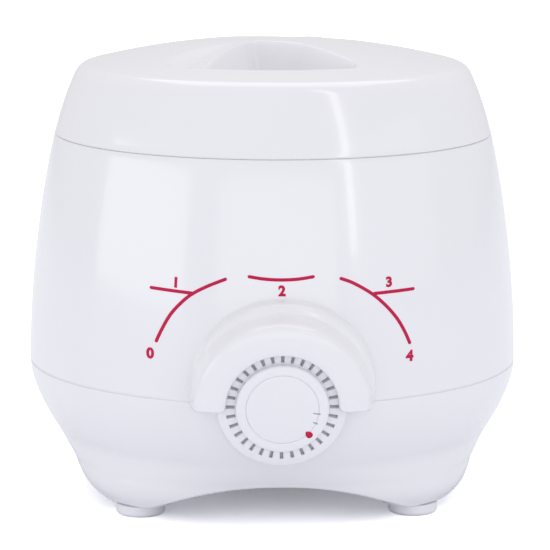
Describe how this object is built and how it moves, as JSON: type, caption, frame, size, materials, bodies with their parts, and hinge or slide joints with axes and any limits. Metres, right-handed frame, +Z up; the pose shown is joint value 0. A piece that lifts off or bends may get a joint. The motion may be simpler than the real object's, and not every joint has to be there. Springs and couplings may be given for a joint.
{
  "type": "wax warmer",
  "caption": "Round electric wax warmer with a domed lift-off lid, a lift-out metal pot, a hooded front heat dial and a footed base.",
  "frame": {"origin": "on the table plane, under the middle of the overall bounding box; the body's own axis is 5 mm behind it, in +Y, because the dial's hood reaches further forward than the cord gland reaches back", "axes": "+Z up, -Y to the front with the dial, +X to the right as seen from the front"},
  "size_m": [0.18, 0.1924, 0.166],
  "materials": {
    "shell_white": "glossy moulded plastic",
    "pot_metal": "spun, satin",
    "bowl_metal": "spun, plain",
    "foot_rubber": "matt, pale",
    "seal_rubber": "matt silicone",
    "steel": "zinc plated",
    "heater_metal": "plain, heat tinted",
    "insulation": "woven glass fibre",
    "ceramic": "matt, glazed edges",
    "copper": "drawn copper",
    "terminal_plastic": "plain moulding",
    "brass": "plated brass",
    "black_nylon": "moulded nylon",
    "wire_brown": "insulated wire",
    "wire_black": "insulated wire",
    "wire_blue": "insulated wire",
    "wire_green": "insulated wire"
  },
  "bodies": {
    "body": {"upper_shell": "shell_white", "base_shell": "shell_white", "foot_front_left": "foot_rubber", "foot_front_right": "foot_rubber", "foot_back_left": "foot_rubber", "foot_back_right": "foot_rubber", "heating_bowl": "bowl_metal", "bowl_gasket": "seal_rubber", "bowl_screws": "steel", "heater_band": "heater_metal", "clamp_screw": "steel", "insulation_sleeve": "insulation", "thermostat": "ceramic", "thermostat_screws": "steel", "sensor_bulb": "copper", "capillary_tube": "copper", "bulb_clip": "steel", "thermal_fuse": "steel", "fuse_bracket": "steel", "fuse_nut": "steel", "terminal_block": "terminal_plastic", "terminal_screws": "brass", "cord_gland": "black_nylon", "gland_nut": "black_nylon", "case_screws": "steel", "live_wire": "wire_brown", "switched_wire": "wire_black", "fused_wire": "wire_black", "neutral_wire": "wire_blue", "earth_wire": "wire_green"},
    "lid": {"lid": "shell_white"},
    "pot": {"wax_pot": "pot_metal"},
    "dial": {"dial_knob": "shell_white", "dial_cap": "shell_white", "dial_clip": "steel", "thermostat_shaft": "steel"}
  },
  "joints": [
    {"name": "lid_lift", "type": "slide", "parent": "body", "child": "lid", "axis": [0, 0, 1], "range_m": [0, 0.15]},
    {"name": "pot_lift", "type": "slide", "parent": "body", "child": "pot", "axis": [0, 0, 1], "range_m": [0, 0.018]},
    {"name": "dial_turn", "type": "hinge", "parent": "body", "child": "dial", "pos_m": [0, -0.08542, 0.049], "axis": [0, -0.9816, -0.1908], "range_deg": [0, 204]}
  ]
}
